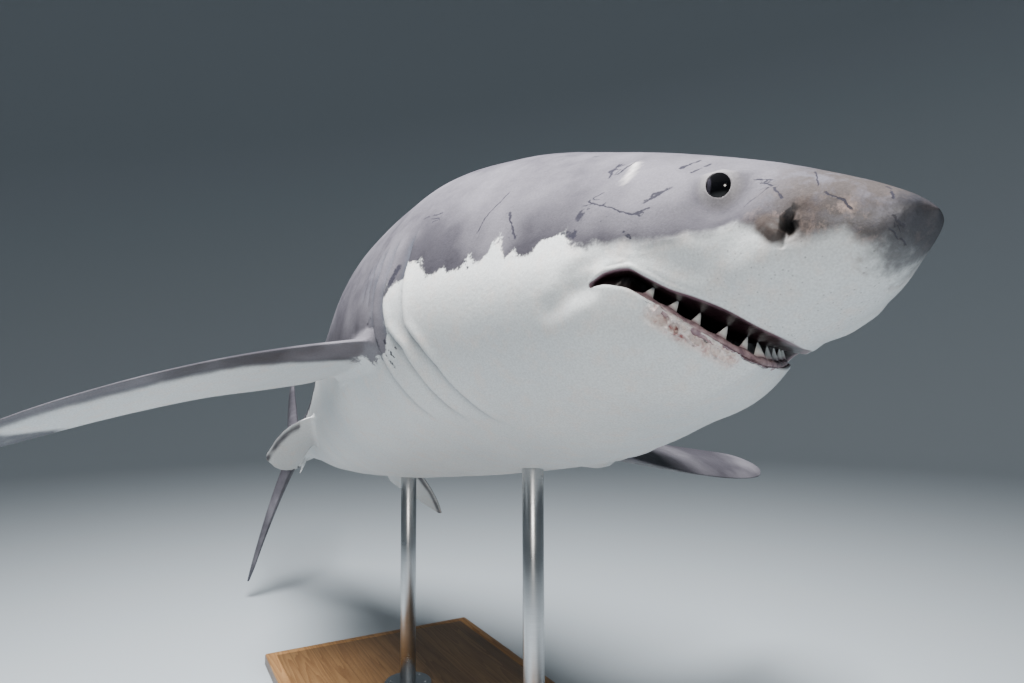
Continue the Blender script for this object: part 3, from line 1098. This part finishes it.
# Satin varnish, wet in the mouth and matt in the nostrils
for part, roughness in ((gum_part, 0.30), (nostril_at, 0.95)):
    satin = add(tree, "ShaderNodeMix", {0: part, 2: satin, 3: roughness}, data_type="FLOAT")
# The skin's teeth are 0.3 mm apart; they are drawn 2.5 mm apart so that the grain shows
teeth_of_skin = add(tree, "ShaderNodeTexVoronoi", {"Vector": station, "Scale": 400.0})
folds = add(tree, "ShaderNodeTexNoise", {"Vector": station, "Scale": 75.0, "Detail": 5.0, "Roughness": 0.6})
height = add(tree, "ShaderNodeMath", {0: teeth_of_skin, 1: 0.16, 2: folds}, operation="MULTIPLY_ADD")
height = add(tree, "ShaderNodeMath", {0: stroke, 1: -0.5, 2: height}, operation="MULTIPLY_ADD")
bump = add(tree, "ShaderNodeBump", {"Height": height, "Strength": 0.55, "Distance": 0.0016})
feed(surface, {"Base Color": coat, "Roughness": satin, "Normal": bump})
skin_mesh.materials.clear()
skin_mesh.materials.append(hide)
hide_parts("head", "lower_jaw", "gill_region", "trunk", "rear_trunk", "tail_stock",
            *[name for name, *_ in FINS])
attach(skin, "root")

# ---------------------------------------------------------------------------------------------------------
# Gums
# The lower gum is a soft ridge just inside the lip, cast in tinted silicone, with a low fold between each two
# teeth. It holds the teeth's roots.
# ---------------------------------------------------------------------------------------------------------
TEETH_END = 0.1020
TOOTH_INSET, TOOTH_ROOT = 0.013, 0.006
TOOTH_SPACING, TEETH_EACH_SIDE = 0.048, 5
GUM_WIDTH, GUM_HEIGHT = 0.0108, 0.0095


def jaw_edge(side, end=TEETH_END, count=80):
    """Points of the shark's frame along one side of the lower lip's edge, from the chin back."""
    share = np.linspace(CHIN, end, count)
    lip = lower_lip(share)
    left = side * np.maximum(width_at(share, lip) - jaw_inset(share) / LENGTH, 0)
    return place(share, left, lip)


def along_edge(edge, at):
    """The point this far along the edge, and the edge's direction there."""
    steps = np.linalg.norm(np.diff(edge, axis=0), axis=1)
    run = np.concatenate([[0], np.cumsum(steps)])
    i = min(np.searchsorted(run, at, side="right") - 1, len(steps) - 1)
    direction = (edge[i + 1] - edge[i]) / steps[i]
    return edge[i] + direction * (at - run[i]), direction


def tooth_foot(side, at, inset):
    """A place on the jaw's top this far along one side, its direction, and the direction into the mouth."""
    point, direction = along_edge(jaw_edge(side), at)
    inward = np.cross(direction, (0, 0, -side))
    inward /= np.linalg.norm(inward)
    foot = point + inward * inset
    foot[2] = lower_lip(-foot[0] / LENGTH) * LENGTH
    return foot, direction, inward


GUM_RUN = TOOTH_SPACING * TEETH_EACH_SIDE + 0.012
GUM_DEEP, GUM_SIDES = 0.005, 14  # how far its middle lies under the teeth's feet, and its section's sides
gum_rings = []
for at in np.linspace(-GUM_RUN, GUM_RUN, 121):
    foot, _, inward = tooth_foot(1 if at > 0 else -1, max(abs(at), 1e-4), TOOTH_INSET)
    fold = 1 - 0.16 * math.cos(2 * math.pi * abs(at) / TOOTH_SPACING)
    taper = math.sqrt(max(1 - (abs(at) / GUM_RUN) ** 6, 0.0)) + 0.02
    gum_rings.append([foot - np.array([0, 0, GUM_DEEP])
                      + taper * (inward * math.cos(angle) * GUM_WIDTH
                                 + np.array([0, 0, math.sin(angle) * GUM_HEIGHT * fold]))
                      for angle in np.arange(GUM_SIDES) * 2 * math.pi / GUM_SIDES])
gum_mesh = ring_mesh("gums", gum_rings)
gum_mesh.transform(to_world)
gums = show("gums", gum_mesh)
# Tinted silicone, wet-looking, mauve with paler bloodless patches about 15 mm across
gum_silicone, tree, surface = new_material("tinted_silicone", {"Roughness": 0.25, "IOR": 1.41})
spot = add(tree, "ShaderNodeTexCoord", out="Object")
patches = add(tree, "ShaderNodeTexNoise", {"Vector": spot, "Scale": 70.0, "Detail": 5.0})
blend = add(tree, "ShaderNodeMapRange", {"Value": patches, "From Min": 0.35, "From Max": 0.65})
mauve = add(tree, "ShaderNodeMix", {0: blend, 6: linear("#7E666E"), 7: linear("#B39A9C")}, out=2,
            data_type="RGBA")
bump = add(tree, "ShaderNodeBump", {"Height": patches, "Strength": 0.5, "Distance": 0.002})
feed(surface, {"Base Color": mauve, "Normal": bump})
gum_mesh.materials.append(gum_silicone)
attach(gums, "root")

# ---------------------------------------------------------------------------------------------------------
# Teeth
# Ten lower teeth, cast in ivory resin from a broad saw-edged blade and set in the gum, largest at the front.
# ---------------------------------------------------------------------------------------------------------
TOOTH_HEIGHT, TOOTH_WIDTH, TOOTH_DEPTH = 0.032, 0.039, 0.010
TOOTH_SHRINK = 0.25  # how much shorter and narrower the rear teeth are
LEAN_SPREAD = 0.06  # radians
FACING = math.radians(28)  # how far each blade is turned from the jaw's line to face forward
BLADE_ROWS, SERRATION = 44, 0.030

# One blade of unit height, width and depth, its root at the bottom and its point up
BLADE_SECTION = [(-1, 0), (-0.8, 0.35), (-0.4, 0.8), (0, 1), (0.4, 0.8), (0.8, 0.35), (1, 0), (0.8, -0.25),
                 (0.4, -0.5), (0, -0.6), (-0.4, -0.5), (-0.8, -0.25)]
blade_rings = []
for i in range(BLADE_ROWS):
    rise = i / BLADE_ROWS
    saw = SERRATION * (i % 2) * smooth_step(rise, 0.15, 0.25)
    half = 0.5 * (1 - rise) ** 0.88 * (1 - 0.12 * math.sin(math.pi * rise)) * (1 - saw) + 0.004
    thick = 0.5 * (1 - rise) ** 0.8 * (1 - 0.25 * rise) + 0.01
    blade_rings.append([(across * half, out * thick, rise) for across, out in BLADE_SECTION])
blade_mesh = ring_mesh("tooth_blade", blade_rings, tip=(0, 0, 1))
keep(blade_mesh, "rise", [vertex.co.z for vertex in blade_mesh.vertices])
blade_object = bpy.data.objects.new("tooth_blade", blade_mesh)

# Ivory resin: white and slightly clear towards the point, stained mauve where it leaves the gum
enamel, tree, surface = new_material("ivory_resin", {"Roughness": 0.18, "IOR": 1.56})
rise_at = add(tree, "ShaderNodeAttribute", out="Fac", attribute_name="rise")
stain = add(tree, "ShaderNodeMapRange", {"Value": rise_at, "From Min": 0.52, "From Max": 0.24},
            interpolation_type="SMOOTHSTEP")
spot = add(tree, "ShaderNodeTexCoord", out="Object")
streak = add(tree, "ShaderNodeTexNoise", {"Vector": spot, "Scale": 260.0, "Detail": 3.0})
ivory = linear("#F0EFEA")
for part, colour in ((streak, "#DADCD8"), (stain, "#B79CA2")):
    ivory = add(tree, "ShaderNodeMix", {0: part, 6: ivory, 7: linear(colour)}, out=2, data_type="RGBA")
bump = add(tree, "ShaderNodeBump", {"Height": streak, "Strength": 0.15, "Distance": 0.0005})
feed(surface, {"Base Color": ivory, "Normal": bump})


def new_layout(name, inputs):
    """A tree that lays out geometry, with these inputs, their identifiers, and the sockets that give them."""
    layout = bpy.data.node_groups.new(name, "GeometryNodeTree")
    layout.interface.new_socket("Geometry", in_out="INPUT", socket_type="NodeSocketGeometry")
    identifiers = {
        key: layout.interface.new_socket(key, in_out="INPUT", socket_type="NodeSocket" + kind).identifier
        for key, kind in inputs.items()}
    layout.interface.new_socket("Geometry", in_out="OUTPUT", socket_type="NodeSocketGeometry")
    return layout, identifiers, add(layout, "NodeGroupInput").node.outputs


def lay_out(thing, layout, identifiers, values):
    """Sets the tree's inputs on the object, and makes what the tree gives the object's plain mesh."""
    setting = thing.modifiers.new("Set", "NODES")
    setting.node_group = layout
    for name, value in values.items():
        setting[identifiers[name]] = value
    settle(thing)


# The places of the teeth: a point for each foot, with the way that the tooth is turned, and its size
feet, facings, sizes = [], [], []
turn_to_world = to_world.to_3x3()
jaw_up = turn_to_world @ Vector((0, 0, 1))
for side in SIDES:
    for i in range(TEETH_EACH_SIDE):
        foot, direction, _ = tooth_foot(side, (i + 0.5) * TOOTH_SPACING, TOOTH_INSET)
        foot[2] -= TOOTH_ROOT
        feet.append(to_world @ Vector(foot))
        faced = Matrix.Rotation(-side * FACING, 3, jaw_up) @ (turn_to_world @ Vector(direction))
        facings.append(Matrix((faced, jaw_up.cross(faced), jaw_up)).transposed().to_euler())
        sizes.append(1 - TOOTH_SHRINK * i / TEETH_EACH_SIDE)
feet_mesh = bpy.data.meshes.new("tooth_feet")
feet_mesh.from_pydata(feet, [], [])
keep(feet_mesh, "turn", facings)
keep(feet_mesh, "size", sizes)

layout, identifiers, given = new_layout("teeth_on_jaw", {
    "Tooth": "Object", "Height": "Float", "Width": "Float", "Depth": "Float", "Root": "Float",
    "Lean": "Float", "Enamel": "Material", "Seed": "Int"})
size = add(layout, "GeometryNodeInputNamedAttribute", {"Name": "size"}, data_type="FLOAT")
turn = add(layout, "GeometryNodeInputNamedAttribute", {"Name": "turn"}, data_type="FLOAT_VECTOR")
tall = add(layout, "ShaderNodeMath", {0: given["Height"], 1: size, 2: given["Root"]},
           operation="MULTIPLY_ADD")
wide = add(layout, "ShaderNodeMath", {0: given["Width"], 1: size}, operation="MULTIPLY")
extent = add(layout, "ShaderNodeCombineXYZ", {0: wide, 1: given["Depth"], 2: tall})
tooth = add(layout, "GeometryNodeObjectInfo", {"Object": given["Tooth"]}, out="Geometry")
lean = add(layout, "FunctionNodeRandomValue", {2: -LEAN_SPREAD, 3: LEAN_SPREAD, "Seed": given["Seed"]}, out=1,
           data_type="FLOAT")
lean = add(layout, "ShaderNodeMath", {0: lean, 1: given["Lean"]}, operation="ADD")
lean = add(layout, "ShaderNodeCombineXYZ", {0: lean, 1: lean})
standing, tipping = [add(layout, "FunctionNodeEulerToRotation", {0: angles}) for angles in (turn, lean)]
tipped = add(layout, "FunctionNodeRotateRotation", {"Rotation": standing, "Rotate By": tipping},
             rotation_space="LOCAL")
placed = add(layout, "GeometryNodeInstanceOnPoints", {"Points": given["Geometry"], "Instance": tooth,
                                                      "Rotation": tipped, "Scale": extent})
solid = add(layout, "GeometryNodeRealizeInstances", {0: placed})
coated = add(layout, "GeometryNodeSetMaterial", {"Geometry": solid, "Material": given["Enamel"]})
add(layout, "NodeGroupOutput", {0: coated})
teeth = show("teeth", feet_mesh)
lay_out(teeth, layout, identifiers, {
    "Tooth": blade_object, "Height": TOOTH_HEIGHT, "Width": TOOTH_WIDTH, "Depth": TOOTH_DEPTH,
    "Root": TOOTH_ROOT, "Lean": 0.0, "Enamel": enamel, "Seed": 4})
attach(teeth, "root")

# ---------------------------------------------------------------------------------------------------------
# Eyes
# Each eye is a ball of dark cast glass with a clear domed front, set in its socket from behind.
# ---------------------------------------------------------------------------------------------------------
PUPIL_RADIUS, IRIS_RADIUS = 0.0120, 0.0215
eye_glass, tree, surface = new_material("cast_glass", {"Roughness": 0.06, "IOR": 1.52,
                                                      "Specular IOR Level": 0.30})
radial_at = add(tree, "ShaderNodeAttribute", out="Fac", attribute_name="radial")
spot = add(tree, "ShaderNodeTexCoord", out="Object")
fibres = add(tree, "ShaderNodeTexNoise", {"Vector": spot, "Scale": 380.0, "Detail": 2.0})
iris_part, rim_part = [
    add(tree, "ShaderNodeMapRange", {"Value": radial_at, "From Min": start, "From Max": end},
        interpolation_type="SMOOTHSTEP")
    for start, end in ((PUPIL_RADIUS - 0.001, PUPIL_RADIUS + 0.003), (IRIS_RADIUS - 0.003, IRIS_RADIUS))]
iris = add(tree, "ShaderNodeMix", {0: fibres, 6: linear("#17161B"), 7: linear("#34323A")}, out=2,
           data_type="RGBA")
eye_colour = linear("#050506")
for part, colour in ((iris_part, iris), (rim_part, linear("#08080A"))):
    eye_colour = add(tree, "ShaderNodeMix", {0: part, 6: eye_colour, 7: colour}, out=2, data_type="RGBA")
feed(surface, {"Base Color": eye_colour})
for side, node in ((-1, "eye_right"), (1, "eye_left")):
    middle, look = eye_middle(side)
    look = Vector(look)
    centre = place(*[np.array(value / LENGTH) for value in middle])
    centre = Vector(centre)
    facing = look.to_track_quat("Z", "Y").to_matrix().to_4x4()
    ball = bmesh.new()
    bmesh.ops.create_uvsphere(ball, u_segments=64, v_segments=40, radius=EYE_RADIUS,
                              matrix=Matrix.Translation(centre) @ facing)
    eye_mesh = mesh_of(ball, node.replace("_", "ball_"))
    keep(eye_mesh, "radial", [(vertex.co - centre).cross(look).length for vertex in eye_mesh.vertices])
    eye_mesh.transform(to_world)
    eye_mesh.shade_smooth()
    eye_mesh.materials.append(eye_glass)
    eyeball = show(eye_mesh.name, eye_mesh)
    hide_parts(node)
    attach(eyeball, "root")

# ---------------------------------------------------------------------------------------------------------
# Stand board
# A board glued up from oak staves, planed flat, with rounded edges and a shallow routed line, under a satin
# floor varnish. The rods' flanges are screwed to its top.
# ---------------------------------------------------------------------------------------------------------
BOARD_EDGE, ROUTED_INSET, ROUTED_WIDTH, ROUTED_WALL, ROUTED_DEPTH = 0.008, 0.045, 0.005, 0.001, 0.0025
STAVE = 0.095
low, high = [Vector(corner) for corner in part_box("stand_base")]
board_shape = bmesh.new()
bmesh.ops.create_cube(board_shape, size=1,
                      matrix=Matrix.Translation((low + high) / 2) @ Matrix.Diagonal((*(high - low), 1)))
bmesh.ops.bevel(board_shape, geom=board_shape.edges[:], offset=BOARD_EDGE, segments=5, profile=0.5,
                affect="EDGES")
board_top = max(board_shape.faces, key=lambda face: face.calc_center_median().z + face.calc_area())
bmesh.ops.inset_region(board_shape, faces=[board_top], thickness=ROUTED_INSET)
routed = bmesh.ops.inset_region(board_shape, faces=[board_top], thickness=ROUTED_WIDTH)["faces"]
bmesh.ops.inset_region(board_shape, faces=routed, thickness=ROUTED_WALL)
bmesh.ops.translate(board_shape, verts=list({vertex for face in routed for vertex in face.verts}),
                    vec=(0, 0, -ROUTED_DEPTH))
board_mesh = mesh_of(board_shape, "board")
board_mesh.shade_smooth()
board = show("board", board_mesh)
# Oak under satin varnish: 95 mm staves, each with its own tone, and wandering grain lines along them
oak, tree, surface = new_material("varnished_oak")
spot = add(tree, "ShaderNodeTexCoord", out="Object")
across_board = add(tree, "ShaderNodeSeparateXYZ", {0: spot}, out=1)
stave = add(tree, "ShaderNodeMath", {0: across_board, 1: 1 / STAVE}, operation="MULTIPLY")
stave_number, stave_place = [add(tree, "ShaderNodeMath", {0: stave}, operation=kind)
                             for kind in ("FLOOR", "FRACT")]
stave_tone = add(tree, "ShaderNodeTexWhiteNoise", {"W": stave_number}, noise_dimensions="1D")
shift = add(tree, "ShaderNodeMath", {0: stave_number, 1: 3.7}, operation="MULTIPLY")
shift = add(tree, "ShaderNodeCombineXYZ", {0: shift, 1: stave_tone, 2: shift})
shifted = add(tree, "ShaderNodeVectorMath", {0: spot, 1: shift}, operation="ADD")
drawn, drawn_fine = [add(tree, "ShaderNodeMapping", {"Vector": shifted, "Scale": (along, 1.0, 1.0)})
                     for along in (0.06, 0.02)]
wander = add(tree, "ShaderNodeTexNoise", {"Vector": drawn, "Scale": 9.0, "Detail": 3.0})
growth = add(tree, "ShaderNodeMath", {0: wander, 1: 14.0}, operation="MULTIPLY")
growth = add(tree, "ShaderNodeMath", {0: growth}, operation="FRACT")
fibre = add(tree, "ShaderNodeTexNoise", {"Vector": drawn_fine, "Scale": 420.0, "Detail": 4.0,
                                         "Roughness": 0.7})
pores_of_oak = add(tree, "ShaderNodeMapRange", {"Value": fibre, "From Min": 0.55, "From Max": 0.72,
                                                "To Max": 0.6})
wood = linear("#A98155")
for part, colour in ((growth, "#8A6440"), (pores_of_oak, "#5E4229")):
    wood = add(tree, "ShaderNodeMix", {0: part, 6: wood, 7: linear(colour)}, out=2, data_type="RGBA")
tone = add(tree, "ShaderNodeMapRange", {"Value": stave_tone, "To Min": 0.80, "To Max": 1.12})
wood = add(tree, "ShaderNodeVectorMath", {0: wood, 1: tone}, operation="MULTIPLY")
seam = add(tree, "ShaderNodeMath", {0: stave_place, 1: 0.5}, operation="SUBTRACT")
seam = add(tree, "ShaderNodeMath", {0: seam}, operation="ABSOLUTE")
seam = add(tree, "ShaderNodeMapRange", {"Value": seam, "From Min": 0.488, "From Max": 0.497, "To Max": 0.7})
wood = add(tree, "ShaderNodeMix", {0: seam, 6: wood, 7: linear("#4A3320")}, out=2, data_type="RGBA")
satin = add(tree, "ShaderNodeMapRange", {"Value": fibre, "To Min": 0.28, "To Max": 0.48})
bump = add(tree, "ShaderNodeBump", {"Height": fibre, "Strength": 0.25, "Distance": 0.0006})
feed(surface, {"Base Color": wood, "Roughness": satin, "Normal": bump})
board_mesh.materials.append(oak)
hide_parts("stand_base")
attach(board, "root")

# ---------------------------------------------------------------------------------------------------------
# Stand rods, flanges and screws
# Two brushed stainless rods rise from turned flanges into the belly. Six countersunk screws hold each flange
# to the board.
# ---------------------------------------------------------------------------------------------------------
SCREWS, SCREW_CIRCLE, SCREW_RADIUS = 6, 0.068, 0.0075
SCREW_RECESS, RECESS_DEPTH = 0.38, 0.0016  # the recess's rim as a share of the head's radius, and its depth
steel, tree, surface = new_material("brushed_stainless_steel", {"Metallic": 1.0})
spot = add(tree, "ShaderNodeTexCoord", out="Object")
# Brush lines go round the rods, under 1 mm apart; drawn 1.5 mm apart so that they show
turned_round = add(tree, "ShaderNodeMapping", {"Vector": spot, "Scale": (0.04, 0.04, 1)})
brushed = add(tree, "ShaderNodeTexNoise", {"Vector": turned_round, "Scale": 650.0, "Detail": 3.0})
smear = add(tree, "ShaderNodeTexNoise", {"Vector": spot, "Scale": 9.0, "Detail": 3.0})
steel_grey = add(tree, "ShaderNodeMix", {0: brushed, 6: linear("#B4B6B8"), 7: linear("#CFD1D2")}, out=2,
                 data_type="RGBA")
satin = add(tree, "ShaderNodeMapRange", {"Value": smear, "From Min": 0.3, "From Max": 0.7, "To Min": 0.27,
                                         "To Max": 0.38})
bump = add(tree, "ShaderNodeBump", {"Height": brushed, "Strength": 0.12, "Distance": 0.0004})
feed(surface, {"Base Color": steel_grey, "Roughness": satin, "Normal": bump})


def turned(name, profile, centre):
    """A closed steel shape turned on a lathe, by its radii and heights from its bottom to its top."""
    mesh = ring_mesh(name, [
        [(centre.x + radius * math.cos(angle), centre.y + radius * math.sin(angle), height)
         for angle in ROUND] for radius, height in profile])
    mesh.materials.append(steel)
    return show(name, mesh)


screw_shape = bmesh.new()
bmesh.ops.create_cone(screw_shape, cap_ends=True, segments=24, radius1=SCREW_RADIUS,
                      radius2=SCREW_RADIUS * 0.75, depth=0.0022, matrix=Matrix.Translation((0, 0, 0.0009)))
head_top = max(screw_shape.faces, key=lambda face: face.calc_center_median().z)
bmesh.ops.inset_region(screw_shape, faces=[head_top], thickness=SCREW_RADIUS * SCREW_RECESS)
bmesh.ops.inset_region(screw_shape, faces=[head_top], thickness=0.0003, depth=-RECESS_DEPTH)
screw_object = bpy.data.objects.new("screw_head", mesh_of(screw_shape, "screw_head"))
layout, identifiers, given = new_layout("screws_in_ring", {"Screw": "Object", "Count": "Int",
                                                           "Radius": "Float", "Steel": "Material"})
circle = add(layout, "GeometryNodeMeshCircle", {"Vertices": given["Count"], "Radius": given["Radius"]})
centres = add(layout, "GeometryNodeInstanceOnPoints", {"Points": given["Geometry"], "Instance": circle})
corners = add(layout, "GeometryNodeRealizeInstances", {0: centres})
screw_form = add(layout, "GeometryNodeObjectInfo", {"Object": given["Screw"]}, out="Geometry")
driven = add(layout, "GeometryNodeInstanceOnPoints", {"Points": corners, "Instance": screw_form})
solid = add(layout, "GeometryNodeRealizeInstances", {0: driven})
coated = add(layout, "GeometryNodeSetMaterial", {"Geometry": solid, "Material": given["Steel"]})
add(layout, "NodeGroupOutput", {0: coated})
CHAMFER, FLANGE_ROUNDING = 0.001, 0.0025
flange_centres = []
for end in ("front", "rear"):
    low, high = [Vector(corner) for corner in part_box("stand_rod_" + end)]
    centre = (low + high) / 2
    radius = (high.x - low.x) / 2
    rod = turned("rod_" + end, [(radius - CHAMFER, low.z), (radius, low.z + CHAMFER),
                                (radius, high.z - CHAMFER), (radius - CHAMFER, high.z)], centre)
    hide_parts("stand_rod_" + end)
    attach(rod, "root")
    low, high = [Vector(corner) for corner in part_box("stand_flange_" + end)]
    reach = (high.x - low.x) / 2
    flange = turned("flange_" + end, [
        (reach - CHAMFER, low.z), (reach, low.z + CHAMFER), (reach, high.z - FLANGE_ROUNDING),
        (reach - FLANGE_ROUNDING, high.z - 0.0004), (reach - 0.004, high.z), (radius + 0.001, high.z),
        (radius - 0.002, high.z)], centre)
    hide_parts("stand_flange_" + end)
    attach(flange, "root")
    flange_centres.append((centre.x, centre.y, high.z))
screw_places = bpy.data.meshes.new("screw_places")
screw_places.from_pydata(flange_centres, [], [])
screws = show("screws", screw_places)
lay_out(screws, layout, identifiers, {"Screw": screw_object, "Count": SCREWS, "Radius": SCREW_CIRCLE,
                                      "Steel": steel})
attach(screws, "root")
